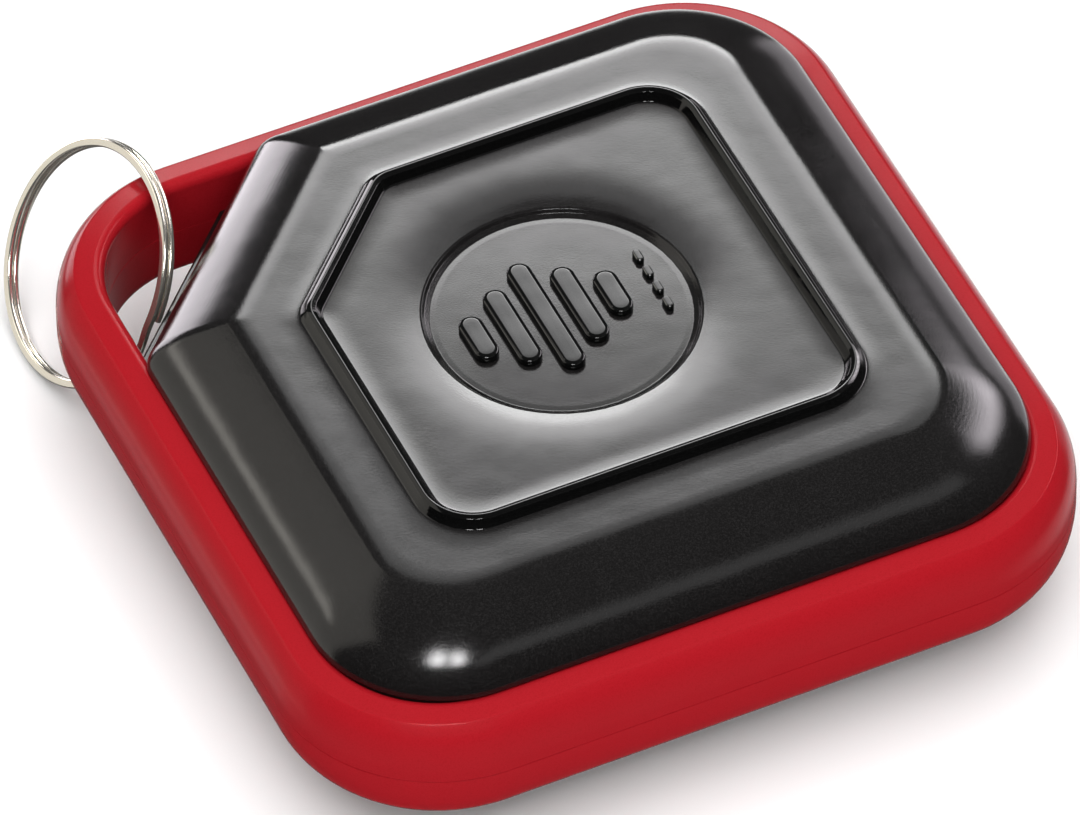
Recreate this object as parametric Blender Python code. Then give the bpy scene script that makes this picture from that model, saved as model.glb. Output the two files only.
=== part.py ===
"""Key ring shaker: a small hand shaker that hangs from a key ring.

Two black moulded half shells close around a bed of loose steel shot. A red frame,
also in two halves, clamps the flange of the shells all round. One corner of the
shells is cut off, so the frame stands free there and carries a split ring.

Metres, +Z up. The origin is the centre of the flat underside. +Y is the top of the
face, +X its right, and the free corner of the frame is at -X, +Y.
"""

import math

import bmesh
import bpy
from mathutils import Vector

MM = 0.001

# Whole object
MID = 10.05 * MM             # height of the parting plane above the underside
SEAM = 0.15 * MM             # half the gap left between two meeting halves
GAP = 0.3 * MM               # gap between a part and the pocket it sits in

# Red frame
FRAME_HALF = 32.0 * MM       # centre to the outer side
FRAME_CORNER = 13.0 * MM
FRAME_INNER_HALF = 28.2 * MM
FRAME_INNER_CORNER = 9.2 * MM
FRAME_RISE = 5.0 * MM        # parting plane to the frame's face
FRAME_ROUND = 3.0 * MM       # outer edge radius
UPPER_LIP = 0.8 * MM         # inner edge radius of the upper half
LOWER_LIP = 1.5 * MM         # inner edge radius of the lower half

# Black shells: centre to side, corner radius
PLATEAU = (22.5 * MM, 5.8 * MM)
SHOULDER = (28.0 * MM, 10.0 * MM)
WALL = (28.8 * MM, 10.6 * MM)
FLANGE = (30.0 * MM, 11.8 * MM)
CAVITY_WALL = (26.8 * MM, 8.6 * MM)
CAVITY_ROOF = (21.5 * MM, 4.8 * MM)
SHOULDER_RISE = 6.89 * MM
WALL_RISE = 5.5 * MM
BEVEL_FOOT_RISE = 4.3 * MM   # where the bevel of the cut corner meets the wall
FLANGE_RISE = 0.6 * MM
FLANGE_CUT = 31.0 * MM       # centre to the flange's edge at the cut corner
SHELL_WALL = 2.0 * MM
LIP_STEP = 27.6 * MM         # outer side of the locating lip of the top shell
LIP_DEPTH = 1.2 * MM

# Raised ridge, sunk disc and raised bars of the top face
RIDGE_HALF = 17.4 * MM       # centre to the middle of the crest
RIDGE_CORNER = 4.1 * MM
RIDGE_SOFT = 1.6 * MM        # rounding at the ends of the cut corner
RIDGE_RISE = 0.95 * MM
RIDGE_FOOT = 1.3 * MM        # middle of the crest to either foot
RIDGE_CREST = 0.3 * MM       # half width of the crest
DISC_RADIUS = 10.6 * MM
DISC_DEPTH = 1.1 * MM
BAR_WIDTH = 1.9 * MM
BAR_PITCH = 2.75 * MM
BAR_RAISE = 0.6 * MM
BAR_SHIFT = -1.3 * MM        # the row of bars stands a little left of the middle
BAR_LENGTHS = (4.6 * MM, 8.0 * MM, 11.4 * MM, 8.0 * MM, 4.6 * MM)

# Split ring: two turns of flat wire
RING_RADIUS = 9.586 * MM     # outside
WIRE_DEPTH = 0.7 * MM        # across the radius
WIRE_THICK = 0.5 * MM        # along the ring's axis
COIL_PITCH = 0.6 * MM        # from one turn to the next
RING_CENTRE = Vector((-26.00, 29.51, MID / MM - 1.69)) * MM
RING_AXIS = Vector((-0.8355, -0.0401, 0.5480))
SWING_AT = 9.2 * MM          # pivot's distance from the ring's centre
SWING_ANGLE = math.radians(150)

# Loose shot
SHOT_RADIUS = 1.6 * MM
SHOT_PITCH = 3.5 * MM
SHOT_LANES = 9
SHOT_ROWS = 3
SHOT_FIRST_Y = -19.0 * MM

CORNER_STEPS = 8
SOFT_STEPS = 3
ROUND_STEPS = 5


def clear_scene():
    """Remove every object that the scene starts with."""
    for item in list(bpy.data.objects):
        bpy.data.objects.remove(item, do_unlink=True)


def collection(name):
    """A new collection linked to the scene."""
    made = bpy.data.collections.new(name)
    bpy.context.scene.collection.children.link(made)
    return made


def material(name, colour, roughness, metallic=0.0):
    """A Principled material."""
    made = bpy.data.materials.new(name)
    made.use_nodes = True
    shader = made.node_tree.nodes["Principled BSDF"]
    shader.inputs["Base Color"].default_value = (*colour, 1.0)
    shader.inputs["Roughness"].default_value = roughness
    shader.inputs["Metallic"].default_value = metallic
    return made


def arc(centre_x, centre_y, radius, start, end, steps):
    """Points along an arc, angles in degrees, both ends included."""
    angles = [math.radians(start + (end - start) * i / steps) for i in range(steps + 1)]
    return [(centre_x + radius * math.cos(a), centre_y + radius * math.sin(a)) for a in angles]


def rounded_square(half, corner):
    """A square outline with four round corners."""
    inset = half - corner
    points = arc(inset, -inset, corner, -90, 0, CORNER_STEPS)
    points += arc(inset, inset, corner, 0, 90, CORNER_STEPS)
    points += arc(-inset, inset, corner, 90, 180, CORNER_STEPS)
    points += arc(-inset, -inset, corner, 180, 270, CORNER_STEPS)
    return points


def cut_square(half, corner, cut, soft):
    """A round-cornered square whose -X, +Y corner is cut off at 45 degrees.

    cut is the distance from the centre to the cut, and soft rounds its two ends.
    """
    inset = half - corner
    tangent = soft * math.tan(math.radians(22.5))
    end = half - cut * math.sqrt(2) + tangent
    points = arc(inset, -inset, corner, -90, 0, CORNER_STEPS)
    points += arc(inset, inset, corner, 0, 90, CORNER_STEPS)
    points += arc(end, half - soft, soft, 90, 135, SOFT_STEPS)
    points += arc(-half + soft, -end, soft, 135, 180, SOFT_STEPS)
    points += arc(-inset, -inset, corner, 180, 270, CORNER_STEPS)
    return points


def loft(name, loops, closed, mirror):
    """A solid through a stack of unlike outlines, given as (points, height).

    closed joins the last outline back to the first; otherwise both ends are capped.
    mirror turns the stack upside down for the lower half of a pair.
    """
    mesh = bmesh.new()
    side = -1 if mirror else 1
    rings = [[mesh.verts.new((x, y, side * height)) for x, y in points] for points, height in loops]
    pairs = list(zip(rings, rings[1:]))
    if closed:
        pairs.append((rings[-1], rings[0]))
    else:
        mesh.faces.new(rings[0])
        mesh.faces.new(rings[-1])
    for first, second in pairs:
        for i in range(len(first)):
            mesh.faces.new((first[i - 1], first[i], second[i], second[i - 1]))
    return solid(name, mesh)


def solid(name, mesh):
    """An object from a closed mesh, with its faces turned outwards."""
    bmesh.ops.recalc_face_normals(mesh, faces=mesh.faces)
    if mesh.calc_volume(signed=True) < 0:
        bmesh.ops.reverse_faces(mesh, faces=mesh.faces)
    data = bpy.data.meshes.new(name)
    mesh.to_mesh(data)
    mesh.free()
    return bpy.data.objects.new(name, data)


def finish(made, group, look, angle=35):
    """Put an object in its collection, give it a material and shade it smooth."""
    group.objects.link(made)
    if look:
        made.data.materials.append(look)
    made.data.shade_smooth()
    made.data.set_sharp_from_angle(angle=math.radians(angle))
    return made


def boolean(target, cutter, operation="DIFFERENCE"):
    """Cut one object by another, or join them, and keep the modifier."""
    modifier = target.modifiers.new(cutter.name, "BOOLEAN")
    modifier.operation = operation
    modifier.solver = "EXACT"
    modifier.object = cutter


def as_cutter(made, group):
    """Hide a helper that only shapes other parts."""
    group.objects.link(made)
    made.hide_render = True
    made.display_type = "WIRE"
    return made


def ridge_loops():
    """Outlines over the raised ridge, from its inner foot to its outer one."""
    section = ((-RIDGE_FOOT, 0), (-RIDGE_CREST, RIDGE_RISE), (RIDGE_CREST, RIDGE_RISE), (RIDGE_FOOT, 0))
    loops = []
    for step, up in section:
        half = RIDGE_HALF + step
        loops.append((cut_square(half, RIDGE_CORNER + step, half, RIDGE_SOFT), MID + up))
    return loops


def shell_loops():
    """Outlines of a half shell: from the plateau's edge out, down, and up inside."""
    half_fall = math.tan(math.radians(22.5))
    roll = (WALL[0] - SHOULDER[0]) * half_fall
    crown = MID
    edge = 0.45 * MM
    outside = [
        (cut_square(PLATEAU[0] - edge, PLATEAU[1], PLATEAU[0] - edge, edge), crown),
        (cut_square(PLATEAU[0] + edge, PLATEAU[1], PLATEAU[0] + edge, 2 * edge), crown - edge / 2),
        (cut_square(*SHOULDER, 26.0 * MM, 1.6 * MM), SHOULDER_RISE),
        (cut_square(WALL[0] - roll, WALL[1] - roll, 26.8 * MM, 1.9 * MM), WALL_RISE + roll * 2),
        (cut_square(*WALL, 27.6 * MM, 2.2 * MM), WALL_RISE),
        (cut_square(*WALL, WALL[0], 2.2 * MM), BEVEL_FOOT_RISE),
        (cut_square(*WALL, WALL[0], 2.2 * MM), FLANGE_RISE),
        (cut_square(*FLANGE, FLANGE_CUT, 1.0 * MM), FLANGE_RISE),
        (cut_square(*FLANGE, FLANGE_CUT, 1.0 * MM), SEAM),
    ]
    inside = [
        (cut_square(*CAVITY_WALL, CAVITY_WALL[0], 1.5 * MM), WALL_RISE - SHELL_WALL / 2),
        (cut_square(*CAVITY_ROOF, CAVITY_ROOF[0], 0.6 * MM), crown - SHELL_WALL),
    ]
    return outside, inside


def lip_loop(side_half, height):
    """An outline that follows the shell's inner wall at another distance."""
    step = side_half - CAVITY_WALL[0]
    return (cut_square(side_half, CAVITY_WALL[1] + step, side_half, 1.5 * MM), height)


def top_shell(group, cutters, look):
    """The upper half shell, with a lip that locates it in the lower one."""
    outside, inside = shell_loops()
    lip = [
        lip_loop(LIP_STEP, SEAM),
        lip_loop(LIP_STEP, -LIP_DEPTH),
        lip_loop(CAVITY_WALL[0], -LIP_DEPTH),
    ]
    shell = loft("top_shell", ridge_loops() + outside + lip + inside, closed=False, mirror=False)
    shell.location.z = MID
    bpy.ops.mesh.primitive_cylinder_add(vertices=64, radius=DISC_RADIUS, depth=2 * DISC_DEPTH)
    disc = bpy.context.object
    disc.name = "disc_recess"
    disc.location = (0, 0, 2 * MID)
    move_to(disc, cutters)
    boolean(shell, disc)
    for index, length in enumerate(BAR_LENGTHS):
        bar = rounded_bar(f"level_bar_{index + 1}", length)
        bar.location = (BAR_SHIFT + (index - 2) * BAR_PITCH, 0, 2 * MID - DISC_DEPTH)
        as_cutter(bar, cutters)
        boolean(shell, bar, "UNION")
    return finish(shell, group, look)


def move_to(made, cutters):
    """Take a primitive out of the scene's collection and make it a cutter."""
    for owner in list(made.users_collection):
        owner.objects.unlink(made)
    as_cutter(made, cutters)


def rounded_bar(name, length):
    """A raised bar with round ends, sunk a little into the disc below it."""
    radius = BAR_WIDTH / 2
    reach = length / 2 - radius
    outline = arc(0, reach, radius, 0, 180, CORNER_STEPS) + arc(0, -reach, radius, 180, 360, CORNER_STEPS)
    return loft(name, [(outline, -BAR_RAISE), (outline, BAR_RAISE)], closed=False, mirror=False)


def bottom_shell(group, look):
    """The lower half shell, with a rebate for the upper one's lip."""
    outside, inside = shell_loops()
    rebate = [
        lip_loop(LIP_STEP + GAP, SEAM),
        lip_loop(LIP_STEP + GAP, LIP_DEPTH + GAP),
        lip_loop(CAVITY_WALL[0], LIP_DEPTH + GAP),
    ]
    shell = loft("bottom_shell", outside + rebate + inside, closed=False, mirror=True)
    shell.location.z = MID
    return finish(shell, group, look)


def frame_loops(lip):
    """Section of a frame half: outer wall, round edge, face, inner edge, inner wall."""
    loops = [(rounded_square(FRAME_HALF, FRAME_CORNER), SEAM)]
    for across, up in arc(FRAME_HALF - FRAME_ROUND, FRAME_RISE - FRAME_ROUND, FRAME_ROUND, 0, 90, ROUND_STEPS):
        loops.append((rounded_square(across, FRAME_CORNER - (FRAME_HALF - across)), up))
    for across, up in arc(FRAME_INNER_HALF + lip, FRAME_RISE - lip, lip, 90, 180, 3):
        if across < FRAME_HALF - FRAME_ROUND - lip / 4:
            loops.append((rounded_square(across, FRAME_INNER_CORNER + across - FRAME_INNER_HALF), up))
    loops.append((rounded_square(FRAME_INNER_HALF, FRAME_INNER_CORNER), SEAM))
    return loops


def frame_half(name, lip, mirror, group, cutters, look):
    """Half of the red frame, pocketed for the shell and its flange."""
    half = loft(name, frame_loops(lip), closed=True, mirror=mirror)
    half.location.z = MID
    pocket = [
        (cut_square(FLANGE[0] + GAP, FLANGE[1] + GAP, FLANGE_CUT + GAP, 1.0 * MM), -GAP),
        (cut_square(FLANGE[0] + GAP, FLANGE[1] + GAP, FLANGE_CUT + GAP, 1.0 * MM), FLANGE_RISE + GAP),
        (cut_square(WALL[0] + GAP, WALL[1] + GAP, WALL[0] + GAP, 2.2 * MM), FLANGE_RISE + GAP),
        (cut_square(WALL[0] + GAP, WALL[1] + GAP, WALL[0] + GAP, 2.2 * MM), FRAME_RISE + GAP),
    ]
    cutter = loft(f"{name}_pocket", pocket, closed=False, mirror=mirror)
    cutter.location.z = MID
    as_cutter(cutter, cutters)
    boolean(half, cutter)
    return finish(half, group, look)


def split_ring(group, look):
    """Two turns of flat wire with a short jog between them, on the swing's pivot."""
    mesh = bmesh.new()
    inner = RING_RADIUS - WIRE_DEPTH
    low = -(COIL_PITCH + WIRE_THICK) / 2
    corners = [(inner, low), (RING_RADIUS, low), (RING_RADIUS, low + WIRE_THICK), (inner, low + WIRE_THICK)]
    start = math.radians(12)
    verts = [mesh.verts.new((x * math.cos(start), x * math.sin(start), z)) for x, z in corners]
    end = [mesh.faces.new(verts)]
    stretches = [(338, 0.0, 44), (20, COIL_PITCH, 8), (338, 0.0, 44)]
    for stretch, (angle, rise, steps) in enumerate(stretches):
        swept = bmesh.ops.spin(
            mesh, geom=end, cent=(0, 0, 0), axis=(0, 0, 1), dvec=(0, 0, rise / steps),
            angle=math.radians(angle), steps=steps, use_duplicate=False)
        if stretch > 0:
            bmesh.ops.delete(mesh, geom=end, context="FACES_ONLY")
        end = [item for item in swept["geom_last"] if isinstance(item, bmesh.types.BMFace)]
    ring = solid("split_ring", mesh)
    turn = RING_AXIS.to_track_quat("Z", "Y")
    across = (Vector((0, 1, 0)) - RING_AXIS * RING_AXIS.y).normalized()
    along = RING_AXIS.cross(across)
    radial = across * math.cos(SWING_ANGLE) + along * math.sin(SWING_ANGLE)
    pivot = bpy.data.objects.new("ring_pivot", None)
    pivot.location = RING_CENTRE + radial * SWING_AT
    group.objects.link(pivot)
    ring.parent = pivot
    ring.location = -radial * SWING_AT
    ring.rotation_mode = "QUATERNION"
    ring.rotation_quaternion = turn
    return finish(ring, group, look)


def loose_shot(group, look):
    """Rows of steel balls on the floor of the chamber, resting by its near wall."""
    floor = SHELL_WALL + GAP + SHOT_RADIUS
    ball = bmesh.new()
    bmesh.ops.create_icosphere(ball, subdivisions=2, radius=SHOT_RADIUS)
    data = bpy.data.meshes.new("steel_shot")
    ball.to_mesh(data)
    ball.free()
    data.materials.append(look)
    for row in range(SHOT_ROWS):
        for lane in range(SHOT_LANES):
            shot = bpy.data.objects.new(f"steel_shot_{row * SHOT_LANES + lane + 1:02d}", data)
            across = (lane - (SHOT_LANES - 1) / 2) * SHOT_PITCH
            shot.location = (across, SHOT_FIRST_Y + row * SHOT_PITCH, floor)
            group.objects.link(shot)
    data.shade_smooth()


def main():
    """Build the whole shaker."""
    clear_scene()
    parts = collection("key_ring_shaker")
    cutters = collection("cutters")
    black = material("black_plastic", (0.012, 0.012, 0.013), 0.32)
    red = material("red_plastic", (0.48, 0.012, 0.022), 0.3)
    nickel = material("nickel_plate", (0.78, 0.76, 0.72), 0.14, 1.0)
    steel = material("shot_steel", (0.55, 0.55, 0.56), 0.25, 1.0)
    top_shell(parts, cutters, black)
    bottom_shell(parts, black)
    frame_half("frame_upper", UPPER_LIP, False, parts, cutters, red)
    frame_half("frame_lower", LOWER_LIP, True, parts, cutters, red)
    split_ring(parts, nickel)
    loose_shot(parts, steel)


main()
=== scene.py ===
"""Looks for the key ring shaker: fine shells, frame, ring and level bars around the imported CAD."""

import math

import bmesh
import bpy
import numpy as np
from mathutils import Matrix, Vector


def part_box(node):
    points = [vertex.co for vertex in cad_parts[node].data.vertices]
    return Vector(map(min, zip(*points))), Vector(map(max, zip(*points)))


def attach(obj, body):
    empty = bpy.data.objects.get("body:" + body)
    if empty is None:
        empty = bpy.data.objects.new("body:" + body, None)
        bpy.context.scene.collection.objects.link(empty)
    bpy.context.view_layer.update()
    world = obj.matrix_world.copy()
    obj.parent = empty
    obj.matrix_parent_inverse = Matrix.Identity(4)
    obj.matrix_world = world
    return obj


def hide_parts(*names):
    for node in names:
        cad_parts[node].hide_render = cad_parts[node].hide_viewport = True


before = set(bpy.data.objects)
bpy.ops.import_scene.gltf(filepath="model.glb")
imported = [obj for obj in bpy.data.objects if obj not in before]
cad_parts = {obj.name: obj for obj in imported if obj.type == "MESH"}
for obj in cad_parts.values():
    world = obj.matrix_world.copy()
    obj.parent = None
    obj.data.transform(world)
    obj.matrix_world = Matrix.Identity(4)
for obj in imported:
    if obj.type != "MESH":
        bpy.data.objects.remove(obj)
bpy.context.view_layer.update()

MM = 0.001

# Sizes read from the frame
UPPER_LOW, UPPER_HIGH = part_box("frame_upper")
LOWER_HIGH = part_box("frame_lower")[1]
TOP_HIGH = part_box("top_shell")[1]
BOTTOM_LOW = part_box("bottom_shell")[0]
MID = (UPPER_LOW.z + LOWER_HIGH.z) / 2   # height of the parting plane
RISE = MID - BOTTOM_LOW.z                # parting plane to the flat faces
RIDGE_RISE = TOP_HIGH.z - MID - RISE     # flat face to the ridge's crest
FRAME_HALF = UPPER_HIGH.x
FRAME_RISE = UPPER_HIGH.z - MID

# Outline sampling
CORNER_STEPS = 24
SOFT_STEPS = 10
SIDE_STEPS = 12

# Shell, from the centre to a side
RIDGE_HALF = 17.4 * MM                   # to the middle of the ridge's crest
PLATEAU_HALF = 22.5 * MM
WALL_HALF = 28.86 * MM
FLANGE_HALF = 30.0 * MM
FLANGE_CUT = 31.0 * MM
FLANGE_RISE = 0.6 * MM
SEAM = 0.01 * MM                         # from the parting plane to a half's edge
DISC_RADIUS = 10.6 * MM
DISC_RIM = RISE - 0.36 * MM              # the panel dips to this height at the disc's edge
DISC_FLOOR = RISE - 0.72 * MM            # the floor is domed, this is its middle
DISC_DOME = 0.13 * MM
BOWL_WIDTH = 5.2 * MM                    # how far the dip reaches out from the disc

# Corner radius of a shell outline against its half side
CORNER_AT = ((0.0, 0.4), (16.3, 3.0), (18.4, 5.0), (22.5, 5.8), (28.0, 10.0), (28.86, 10.7),
             (30.0, 11.8))
# Rounding of the cut's two ends against the half side
SOFT_AT = ((0.0, 0.2), (15.5, 1.5), (16.3, 1.8), (18.4, 2.6), (20.0, 1.2), (22.5, 0.6), (28.0, 1.8),
           (28.86, 2.4), (30.0, 1.0))


def read_knots(knots, value):
    """Read a curve given as (millimetre, millimetre) knots."""
    xs, ys = zip(*knots)
    return float(np.interp(value / MM, xs, ys)) * MM


def arc(centre_x, centre_y, radius, start, end, steps):
    """Points along an arc, angles in degrees, both ends included."""
    angles = np.radians(np.linspace(start, end, steps + 1))
    return [(centre_x + radius * math.cos(a), centre_y + radius * math.sin(a)) for a in angles]


def with_sides(arcs):
    """Join arcs into one closed outline, with points along the straight sides too."""
    points = []
    for here, after in zip(arcs, arcs[1:] + arcs[:1]):
        points += here
        (x0, y0), (x1, y1) = here[-1], after[0]
        for step in range(1, SIDE_STEPS):
            share = step / SIDE_STEPS
            points.append((x0 + (x1 - x0) * share, y0 + (y1 - y0) * share))
    return points


def cut_square(half, cut=None):
    """A round-cornered square whose -X, +Y corner is cut off at 45 degrees."""
    cut = half if cut is None else cut
    corner = read_knots(CORNER_AT, half)
    soft = read_knots(SOFT_AT, half)
    inset = half - corner
    end = half - cut * math.sqrt(2) + soft * math.tan(math.radians(22.5))
    return with_sides([
        arc(inset, -inset, corner, -90, 0, CORNER_STEPS),
        arc(inset, inset, corner, 0, 90, CORNER_STEPS),
        arc(end, half - soft, soft, 90, 135, SOFT_STEPS),
        arc(-half + soft, -end, soft, 135, 180, SOFT_STEPS),
        arc(-inset, -inset, corner, 180, 270, CORNER_STEPS),
    ])


def rounded_square(half, corner):
    """A square outline with four round corners."""
    inset = half - corner
    return with_sides([
        arc(inset, -inset, corner, -90, 0, CORNER_STEPS),
        arc(inset, inset, corner, 0, 90, CORNER_STEPS),
        arc(-inset, inset, corner, 90, 180, CORNER_STEPS),
        arc(-inset, -inset, corner, 180, 270, CORNER_STEPS),
    ])


def fillet(path, radii, steps=6):
    """Round the inner corners of a 2D path; radii holds one value for each inner corner."""
    rounded = [Vector(path[0])]
    for before, here, after, radius in zip(path, path[1:], path[2:], radii):
        here = Vector(here)
        to_before = (Vector(before) - here)
        to_after = (Vector(after) - here)
        half_angle = to_before.angle(to_after) / 2
        if radius <= 0:
            rounded.append(here)
            continue
        reach = min(radius / math.tan(half_angle), to_before.length * 0.49, to_after.length * 0.49)
        first = here + to_before.normalized() * reach
        last = here + to_after.normalized() * reach
        for step in range(steps + 1):
            t = step / steps
            rounded.append(first * (1 - t) ** 2 + here * 2 * t * (1 - t) + last * t ** 2)
    rounded.append(Vector(path[-1]))
    return [(p.x, p.y) for p in rounded]


def braced(path, margin=0.05 * MM):
    """Add a point close to each end of every long stretch, so that flat stretches shade flat."""
    result = [path[0]]
    for here, after in zip(path, path[1:]):
        here, after = Vector(here), Vector(after)
        length = (after - here).length
        if length > 6 * margin:
            along = (after - here) / length * margin
            result += [tuple(here + along), tuple(after - along)]
        result.append(tuple(after))
    return result


def loft(name, rings, closed=False, side=1):
    """A mesh through a stack of outlines of equal length.

    An outline is (points, height, material index). A point is (x, y), or (x, y, rise) where
    it stands off its outline's height.
    """
    mesh = bmesh.new()
    loops = [
        [mesh.verts.new((x, y, side * (z + sum(rise)))) for x, y, *rise in points]
        for points, z, _ in rings]
    pairs = list(zip(loops, loops[1:], [ring[2] for ring in rings[1:]]))
    if closed:
        pairs.append((loops[-1], loops[0], rings[0][2]))
    else:
        for loop, ring in ((loops[0], rings[0]), (loops[-1], rings[-1])):
            centre = mesh.verts.new((0, 0, side * ring[1]))
            for i in range(len(loop)):
                face = mesh.faces.new((loop[i - 1], loop[i], centre))
                face.material_index = ring[2]
    for first, second, index in pairs:
        for i in range(len(first)):
            face = mesh.faces.new((first[i - 1], first[i], second[i], second[i - 1]))
            face.material_index = index
    return piece_from(name, mesh)


def piece_from(name, mesh):
    """An object from a closed mesh, faces outwards, shaded smooth."""
    bmesh.ops.recalc_face_normals(mesh, faces=mesh.faces)
    if mesh.calc_volume(signed=True) < 0:
        bmesh.ops.reverse_faces(mesh, faces=mesh.faces)
    data = bpy.data.meshes.new(name)
    mesh.to_mesh(data)
    mesh.free()
    data.shade_smooth()
    made = bpy.data.objects.new(name, data)
    bpy.context.scene.collection.objects.link(made)
    return made


def place(made, body, replaced=(), materials=()):
    """Give a finished piece its materials and hang it on its CAD body."""
    for look in materials:
        made.data.materials.append(look)
    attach(made, body)
    if replaced:
        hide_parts(*replaced)
    return made


# ---------------------------------------------------------------- materials

def node_material(name, colour, roughness, metallic=0.0):
    """A Principled material, with its nodes and links at hand."""
    made = bpy.data.materials.new(name)
    made.use_nodes = True
    tree = made.node_tree
    shader = tree.nodes["Principled BSDF"]
    shader.inputs["Base Color"].default_value = (*colour, 1.0)
    shader.inputs["Roughness"].default_value = roughness
    shader.inputs["Metallic"].default_value = metallic
    return made, tree, shader


def noise(tree, scale, detail=3.0, roughness=0.55):
    """A noise texture in object space; scale is in features per metre."""
    coords = tree.nodes.new("ShaderNodeTexCoord")
    texture = tree.nodes.new("ShaderNodeTexNoise")
    texture.inputs["Scale"].default_value = scale
    texture.inputs["Detail"].default_value = detail
    texture.inputs["Roughness"].default_value = roughness
    tree.links.new(coords.outputs["Object"], texture.inputs["Vector"])
    return texture.outputs["Fac"]


def remap(tree, value, low, high, out_low, out_high):
    """Stretch a value's range, clamped."""
    node = tree.nodes.new("ShaderNodeMapRange")
    node.inputs["From Min"].default_value = low
    node.inputs["From Max"].default_value = high
    node.inputs["To Min"].default_value = out_low
    node.inputs["To Max"].default_value = out_high
    tree.links.new(value, node.inputs["Value"])
    return node.outputs["Result"]


def bump(tree, height, strength, distance, below=None):
    """A bump node, stacked on an earlier one when given."""
    node = tree.nodes.new("ShaderNodeBump")
    node.inputs["Strength"].default_value = strength
    node.inputs["Distance"].default_value = distance
    tree.links.new(height, node.inputs["Height"])
    if below is not None:
        tree.links.new(below, node.inputs["Normal"])
    return node.outputs["Normal"]


def moulded_plastic(name, colour, tint, roughness, spread, grain=0.000006, shine=0.5):
    """Moulded plastic: a fine spark-eroded grain, slow gloss variation and faint colour drift."""
    made, tree, shader = node_material(name, colour, roughness)
    shader.inputs["Specular IOR Level"].default_value = shine
    slow = noise(tree, 160.0, 2.0)
    fine = noise(tree, 8000.0, 2.0, 0.6)
    mix = tree.nodes.new("ShaderNodeMix")
    mix.data_type = "RGBA"
    mix.inputs["A"].default_value = (*colour, 1.0)
    mix.inputs["B"].default_value = (*tint, 1.0)
    tree.links.new(remap(tree, fine, 0.45, 0.75, 0.0, 1.0), mix.inputs["Factor"])
    tree.links.new(mix.outputs["Result"], shader.inputs["Base Color"])
    sheen = tree.nodes.new("ShaderNodeMath")
    sheen.operation = "ADD"
    drift = remap(tree, slow, 0.3, 0.7, roughness - spread, roughness + spread)
    tree.links.new(drift, sheen.inputs[0])
    tree.links.new(remap(tree, fine, 0.35, 0.65, -spread, spread), sheen.inputs[1])
    tree.links.new(sheen.outputs["Value"], shader.inputs["Roughness"])
    wave = bump(tree, slow, 0.6, 0.00007)
    tree.links.new(bump(tree, fine, 1.0, grain, wave), shader.inputs["Normal"])
    return made


def plated_metal(name, colour, roughness, metallic=1.0):
    """Bright plating over drawn wire, with a faint drift in gloss."""
    made, tree, shader = node_material(name, colour, roughness, metallic)
    slow = noise(tree, 900.0, 3.0)
    drift = remap(tree, slow, 0.3, 0.7, roughness * 0.7, roughness * 1.5)
    tree.links.new(drift, shader.inputs["Roughness"])
    tree.links.new(bump(tree, slow, 0.4, 0.000008), shader.inputs["Normal"])
    return made


BLACK_SATIN = moulded_plastic(
    "black_satin", (0.006, 0.0055, 0.0055), (0.015, 0.014, 0.014), 0.14, 0.03)
BLACK_POLISHED = moulded_plastic(
    "black_polished", (0.002, 0.002, 0.002), (0.004, 0.004, 0.004), 0.07, 0.015, grain=0.0000005)
RED_SATIN = moulded_plastic(
    "red_satin", (0.35, 0.009, 0.015), (0.30, 0.006, 0.010), 0.20, 0.02,
    grain=0.0000015, shine=0.07)
NICKEL = plated_metal("nickel", (0.85, 0.81, 0.72), 0.13, 0.9)
SHOT_STEEL = plated_metal("tumbled_steel", (0.55, 0.55, 0.56), 0.28)


# ---------------------------------------------------------------- shells

SATIN = 0
POLISHED = 1


def curve(first, handle, last, steps):
    """Points on a quadratic curve, both ends included."""
    first, handle, last = Vector(first), Vector(handle), Vector(last)
    shares = [i / steps for i in range(steps + 1)]
    return [tuple(first * (1 - t) ** 2 + handle * 2 * t * (1 - t) + last * t ** 2) for t in shares]


def brow():
    """The section from the plateau over its soft edge and down a swelling slope to its foot."""
    start = (PLATEAU_HALF + 0.55 * MM, RISE - 0.22 * MM)
    edge = curve((PLATEAU_HALF - 1.2 * MM, RISE), (PLATEAU_HALF - 0.1 * MM, RISE), start, 12)
    swell = curve(start, (WALL_HALF, RISE - 2.5 * MM), (WALL_HALF, RISE - 4.95 * MM), 30)
    return edge + swell[1:]


def ridge_profile():
    """The raised ridge round the panel, from its inner foot over the crest to its outer foot."""
    crest = RISE + RIDGE_RISE
    inner = curve((-2.4 * MM, RISE), (-1.3 * MM, RISE), (-0.74 * MM, RISE + 0.13 * MM), 10)
    outer = curve((0.76 * MM, RISE + 0.13 * MM), (1.3 * MM, RISE), (2.4 * MM, RISE), 10)
    top = fillet(
        [inner[-1], (-0.36 * MM, crest - 0.16 * MM), (0.0, crest + 0.03 * MM),
         (0.32 * MM, crest - 0.17 * MM), (0.56 * MM, RISE + 0.40 * MM), outer[0]],
        [0.07 * MM, 0.14 * MM, 0.07 * MM, 0.05 * MM], steps=4)
    whole = inner + top[1:] + outer[1:]
    return [(RIDGE_HALF + across, min(height, crest)) for across, height in whole]


def flange_profile():
    """The shadow gap at the slope's foot, then the flange and its edge at the parting plane."""
    inset = WALL_HALF - 0.2 * MM
    return fillet(
        [(inset, RISE - 5.05 * MM), (inset, FLANGE_RISE), (FLANGE_HALF, FLANGE_RISE),
         (FLANGE_HALF, SEAM)],
        [0.0, 0.12 * MM], steps=4)


def cut_for(half):
    """Distance from the centre to the cut corner on the outline that has this half side."""
    beyond = max(0.0, half - WALL_HALF) / (FLANGE_HALF - WALL_HALF)
    return half + (FLANGE_CUT - FLANGE_HALF) * beyond


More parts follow.
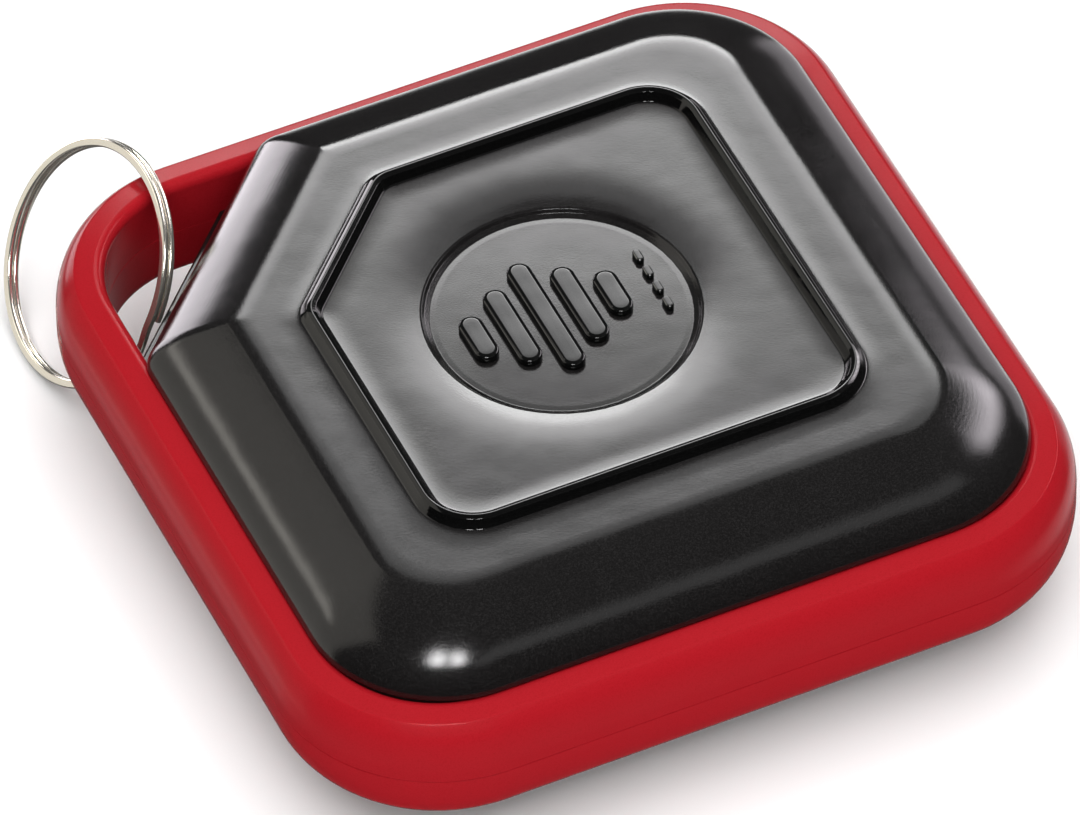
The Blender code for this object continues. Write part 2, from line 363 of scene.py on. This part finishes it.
def disc_profile():
    """The sunk disc's section, from its middle to its rim: radius and height."""
    floor = [
        (radius * MM, DISC_FLOOR - DISC_DOME * (radius * MM / DISC_RADIUS) ** 2)
        for radius in range(1, 10)]
    edge = DISC_FLOOR - DISC_DOME
    wall = fillet(
        [(9.4 * MM, edge + 0.03 * MM), (9.85 * MM, edge), (10.24 * MM, edge + 0.19 * MM),
         (10.44 * MM, DISC_RIM - 0.05 * MM), (DISC_RADIUS, DISC_RIM + 0.01 * MM),
         (DISC_RADIUS + 0.3 * MM, DISC_RIM + 0.06 * MM)],
        [0.15 * MM, 0.1 * MM, 0.1 * MM, 0.08 * MM], steps=5)
    return floor + wall


def bowl_drop(radius):
    """How far the panel dips at a distance from the middle, steepest at the disc."""
    share = min(1.0, max(0.0, (radius - DISC_RADIUS) / BOWL_WIDTH))
    return (RISE - DISC_RIM) * (1 - share) ** 3


def shell_rings(with_face):
    """Every outline of a half shell, from the middle of the face out and down, then up inside.

    Only the upper half has a face, with a sunk disc and a raised ridge; the lower one is plain.
    """
    rings = []
    section = ridge_profile() if with_face else [(15.0 * MM, RISE), (20.0 * MM, RISE)]
    outline = cut_square(section[0][0])
    reaches = [(math.hypot(x, y), math.atan2(y, x)) for x, y in outline]
    start = DISC_RADIUS + 0.3 * MM
    if with_face:
        for radius, height in braced(disc_profile()):
            circle = [(radius * math.cos(angle), radius * math.sin(angle)) for _, angle in reaches]
            rings.append((circle, height, SATIN))
    spread = 24
    for step in range(1 if with_face else 0, spread):
        points = []
        for reach, angle in reaches:
            radius = start + (reach - start) * (step / spread)
            drop = bowl_drop(radius) if with_face else 0.0
            points.append((radius * math.cos(angle), radius * math.sin(angle), -drop))
        rings.append((points, RISE, SATIN))
    for half, height in braced(section + brow() + flange_profile()):
        on_ridge = with_face and abs(half - RIDGE_HALF) < 0.85 * MM
        rings.append((cut_square(half, cut_for(half)), height, POLISHED if on_ridge else SATIN))
    inside = [(26.8 * MM, SEAM), (26.8 * MM, 4.5 * MM), (21.5 * MM, 8.05 * MM), (3.0 * MM, 8.05 * MM)]
    for half, height in inside:
        rings.append((cut_square(half), height, SATIN))
    return rings


def half_shell(name, node, side, with_face):
    """One black half shell."""
    shell = loft(name, shell_rings(with_face), side=side)
    shell.location.z = MID
    return place(shell, "body", [node], [BLACK_SATIN, BLACK_POLISHED])


half_shell("top_shell_skin", "top_shell", 1, True)
half_shell("bottom_shell_skin", "bottom_shell", -1, False)


# ---------------------------------------------------------------- frame

def frame_half(name, node, side, lip):
    """One red frame half: a nearly flat face, a faint crease, a full side and a round inner lip."""
    inner = 28.2 * MM
    crease = (30.5 * MM, FRAME_RISE - 0.24 * MM)
    belly = curve(
        crease, (31.9 * MM, FRAME_RISE - 1.35 * MM), (FRAME_HALF, FRAME_RISE - 4.0 * MM), 16)
    edge = arc(inner + lip, FRAME_RISE - lip, lip, 90, 180, 8)
    face = fillet([belly[1], crease, edge[0]], [0.9 * MM], steps=10)
    face += edge[1:] + [(inner, 0.05 * MM)]
    seam = [(inner + 0.04 * MM, SEAM), (FRAME_HALF - 0.04 * MM, SEAM), (FRAME_HALF, 0.05 * MM)]
    section = braced(seam + belly[:0:-1] + face[1:])
    rings = []
    for half, height in section:
        corner = np.interp(half, (inner, FRAME_HALF), (9.2 * MM, 13.0 * MM))
        rings.append((rounded_square(half, float(corner)), height, 0))
    made = loft(name, rings, closed=True, side=side)
    made.data.set_sharp_from_angle(angle=math.radians(35))
    made.location.z = MID
    return place(made, "body", [node], [RED_SATIN])


frame_half("frame_upper_skin", "frame_upper", 1, 0.8 * MM)
frame_half("frame_lower_skin", "frame_lower", -1, 1.5 * MM)


# ---------------------------------------------------------------- split ring

RING_CENTRE = Vector((-26.00 * MM, 29.51 * MM, MID - 1.69 * MM))
RING_AXIS = Vector((-0.8355, -0.0401, 0.5480)).normalized()
RING_RADIUS = 9.586 * MM
WIRE_DEPTH = 0.70 * MM
WIRE_THICK = 0.52 * MM
COIL_PITCH = 0.58 * MM


def wire_section():
    """The wire's section: flat sides and round corners, as (radius offset, height offset)."""
    half_depth, half_thick, corner = WIRE_DEPTH / 2, WIRE_THICK / 2, 0.2 * MM
    points = []
    for quarter in range(4):
        sx = (1, -1, -1, 1)[quarter]
        sy = (1, 1, -1, -1)[quarter]
        points += arc(sx * (half_depth - corner), sy * (half_thick - corner), corner,
                      quarter * 90, quarter * 90 + 90, 5)
    return points


def split_ring():
    """Two turns of flat wire, with the jog between them and two square-cut ends."""
    section = wire_section()
    middle = RING_RADIUS - WIRE_DEPTH / 2
    mesh = bmesh.new()
    loops = []
    steps = 360
    for step in range(steps + 1):
        turn = math.radians(12 + 696 * step / steps)
        share = min(1.0, max(0.0, (math.degrees(turn) - 350) / 20))
        rise = COIL_PITCH * (share * share * (3 - 2 * share) - 0.5)
        loops.append([
            mesh.verts.new(((middle + r) * math.cos(turn), (middle + r) * math.sin(turn), rise + h))
            for r, h in section])
    mesh.faces.new(loops[0])
    mesh.faces.new(loops[-1])
    for first, second in zip(loops, loops[1:]):
        for i in range(len(first)):
            mesh.faces.new((first[i - 1], first[i], second[i], second[i - 1]))
    turned = RING_AXIS.to_track_quat("Z", "Y").to_matrix().to_4x4()
    stance = Matrix.Translation(RING_CENTRE) @ turned
    bmesh.ops.transform(mesh, matrix=stance, verts=mesh.verts)
    ring = piece_from("split_ring_wire", mesh)
    ring.data.set_sharp_from_angle(angle=math.radians(60))
    return place(ring, "ring", ["split_ring"], [NICKEL])


split_ring()


# ---------------------------------------------------------------- mark and shot

def mark_bar(name, length, width, x, y, raise_by):
    """A raised bar with round ends and a softly crowned top, standing on the disc's floor."""
    radius = width / 2
    section = [(0.0, -0.1 * MM), (0.0, raise_by * 0.8), (radius * 0.35, raise_by),
               (radius * 0.8, raise_by)]
    rings = []
    for inset, up in fillet(section, [radius * 0.22, radius * 0.25], steps=5):
        reach = length / 2 - radius
        small = radius - inset
        points = arc(0, reach, small, 0, 180, 16) + arc(0, -reach, small, 180, 360, 16)
        rings.append((points, up, 0))
    bar = loft(name, rings)
    bar.location = (x, y, MID + DISC_FLOOR)
    return place(bar, "body", (), [BLACK_POLISHED])


MARK_LENGTHS = (4.6, 8.0, 11.4, 8.0, 4.6)
MARK_PITCH = 2.75 * MM
MARK_SHIFT = -1.3 * MM
for index, length in enumerate(MARK_LENGTHS):
    across = MARK_SHIFT + (index - 2) * MARK_PITCH
    mark_bar(f"level_bar_{index + 1}", length * MM, 1.9 * MM, across, 0.0, 0.6 * MM)
for index in range(4):
    along = (1.5 - index) * 1.75 * MM
    mark_bar(f"tick_{index + 1}", 1.25 * MM, 0.62 * MM, 7.5 * MM, along, 0.45 * MM)

for node in sorted(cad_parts):
    if node.startswith("steel_shot"):
        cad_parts[node].data.materials.clear()
        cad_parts[node].data.materials.append(SHOT_STEEL)


# ---------------------------------------------------------------- studio

def from_bearing(bearing, elevation, distance):
    """A place around the object: bearing from +Y towards +X and elevation, in degrees."""
    turn, lift = math.radians(bearing), math.radians(elevation)
    flat = math.cos(lift)
    return Vector((math.sin(turn) * flat, math.cos(turn) * flat, math.sin(lift))) * distance


def panel_light(name, bearing, elevation, distance, width, height, radiance, colour=(1, 1, 1)):
    """A rectangular light facing the object."""
    data = bpy.data.lights.new(name, "AREA")
    data.shape = "RECTANGLE"
    data.size, data.size_y = width, height
    data.energy = radiance * math.pi * width * height
    data.color = colour
    light = bpy.data.objects.new(name, data)
    light.location = from_bearing(bearing, elevation, distance)
    light.rotation_euler = light.location.to_track_quat("Z", "Y").to_euler()
    bpy.context.scene.collection.objects.link(light)
    return light


def reflector(name, bearings, elevations, radiance, colour=(1, 1, 1)):
    """A soft box seen only in reflections, between two bearings and two elevations in degrees."""
    elevation = sum(elevations) / 2
    distance = BOX_DISTANCE
    wide = math.radians(bearings[1] - bearings[0]) * math.cos(math.radians(elevation))
    tall = math.radians(elevations[1] - elevations[0])
    width, height = 2 * distance * math.tan(wide / 2), 2 * distance * math.tan(tall / 2)
    bearing = sum(bearings) / 2
    light = panel_light(name, bearing, elevation, distance, width, height, radiance, colour)
    light.visible_diffuse = False


def fill(name, bearing, elevation, distance, width, height, radiance):
    """A broad light that shows in no reflection."""
    light = panel_light(name, bearing, elevation, distance, width, height, radiance)
    light.visible_glossy = False


BOX_DISTANCE = 0.45                      # metres from the object to a soft box
CREAM = (1.0, 0.96, 0.88)
LILAC = (1.0, 0.94, 0.99)


def studio_world():
    """A dim room with a lit band below the horizon, for reflections, and a white backdrop."""
    world = bpy.data.worlds.new("studio")
    world.use_nodes = True
    tree = world.node_tree
    room = tree.nodes["Background"]
    coords = tree.nodes.new("ShaderNodeTexCoord")
    split = tree.nodes.new("ShaderNodeSeparateXYZ")
    tree.links.new(coords.outputs["Generated"], split.inputs["Vector"])
    ramp = tree.nodes.new("ShaderNodeValToRGB")
    share = tree.nodes.new("ShaderNodeMapRange")
    share.inputs["From Min"].default_value = -1.0
    share.inputs["From Max"].default_value = 1.0
    tree.links.new(split.outputs["Z"], share.inputs["Value"])
    tree.links.new(share.outputs["Result"], ramp.inputs["Fac"])
    levels = ((-1.0, 0.1), (-0.72, 0.1), (-0.64, 0.9), (-0.46, 0.9), (-0.36, 0.03), (0.2, 0.03),
              (1.0, 0.12))
    while len(ramp.color_ramp.elements) < len(levels):
        ramp.color_ramp.elements.new(0.5)
    for element, (height, level) in zip(ramp.color_ramp.elements, levels):
        element.position = (height + 1) / 2
        element.color = (level, level, level, 1.0)
    tree.links.new(ramp.outputs["Color"], room.inputs["Color"])
    facing = tree.nodes.new("ShaderNodeVectorMath")
    facing.operation = "DOT_PRODUCT"
    facing.inputs[1].default_value = (0.7, 0.7, 0.0)
    tree.links.new(coords.outputs["Generated"], facing.inputs[0])
    strength = remap(tree, facing.outputs["Value"], -0.2, 0.6, 0.3, 1.5)
    tree.links.new(strength, room.inputs["Strength"])
    backdrop = tree.nodes.new("ShaderNodeBackground")
    ray = tree.nodes.new("ShaderNodeLightPath")
    mix = tree.nodes.new("ShaderNodeMixShader")
    tree.links.new(ray.outputs["Is Camera Ray"], mix.inputs["Fac"])
    tree.links.new(room.outputs["Background"], mix.inputs[1])
    tree.links.new(backdrop.outputs["Background"], mix.inputs[2])
    tree.links.new(mix.outputs["Shader"], tree.nodes["World Output"].inputs["Surface"])
    backdrop.inputs["Color"].default_value = (1.0, 1.0, 1.0, 1.0)
    bpy.context.scene.world = world


def studio():
    """Pale floor and soft boxes."""
    bpy.ops.mesh.primitive_plane_add(size=6.0, location=(0, 0, -0.0001))
    floor = bpy.context.object
    floor.name = "floor"
    floor.visible_glossy = False
    look, tree, shader = node_material("floor_paper", (0.93, 0.93, 0.93), 0.9)
    shader.inputs["Specular IOR Level"].default_value = 0.0
    floor.data.materials.append(look)
    studio_world()
    for top, radiance in ((62, 1.1), (52, 0.5), (50.5, 0.8), (49, 1.2), (47.5, 1.4), (46, 1.7)):
        reflector("far_box", (4, 52 - (62 - top) / 2), (36, top), radiance)
    reflector("far_box_low", (8, 40), (25, 36), 12.0)
    reflector("bevel_box", (-26, -1), (-13, 15), 5.5, LILAC)
    for step in range(7):
        bearing, elevation = 62 + 5 * step, 19 + 3.6 * step
        bearings, elevations = (bearing - 7, bearing + 7), (elevation - 6, elevation + 6)
        reflector("right_arc", bearings, elevations, 3.2, LILAC)
    reflector("right_low_box", (42, 76), (-24, 6), 1.0, LILAC)
    reflector("left_box", (-80, -32), (-30, 58), 0.8, CREAM)
    reflector("left_strip", (-60, -36), (24, 30), 2.8, CREAM)
    reflector("front_strip", (122, 180), (45, 56), 0.6)
    reflector("key_left", (-151, -140), (53, 64), 32.0)
    reflector("key_right", (-171, -160), (52, 63), 32.0)
    fill("top_fill", 0, 90, 2.0, 3.0, 3.0, 2.5)
    fill("front_fill", 200, 40, 0.9, 0.9, 0.6, 2.6)
    bpy.context.scene.view_settings.view_transform = "Standard"


# Camera: a long lens, so the view is almost parallel
SIDE = 2 * FRAME_HALF
AZIMUTH = math.radians(-24.168)
ELEVATION = math.radians(47.203)
ROLL = math.radians(-0.896)
DISTANCE = 16.118 * SIDE
AIM_RIGHT = -0.027 * SIDE
AIM_UP = -0.011 * SIDE
FOCAL = 458.8


def camera():
    """The camera at the object's viewing angle."""
    flat = math.cos(ELEVATION)
    back = Vector((math.sin(AZIMUTH) * flat, -math.cos(AZIMUTH) * flat, math.sin(ELEVATION)))
    level = Vector((math.cos(AZIMUTH), math.sin(AZIMUTH), 0))
    up = back.cross(level)
    right = level * math.cos(ROLL) + up * math.sin(ROLL)
    up = up * math.cos(ROLL) - level * math.sin(ROLL)
    data = bpy.data.cameras.new("camera")
    data.sensor_width = 36.0
    data.lens = FOCAL
    data.clip_end = 20.0
    made = bpy.data.objects.new("camera", data)
    made.matrix_world = Matrix.Translation(
        Vector((0, 0, MID)) + back * DISTANCE + right * AIM_RIGHT + up * AIM_UP
    ) @ Matrix((right, up, back)).transposed().to_4x4()
    bpy.context.scene.collection.objects.link(made)
    bpy.context.scene.camera = made


studio()
camera()
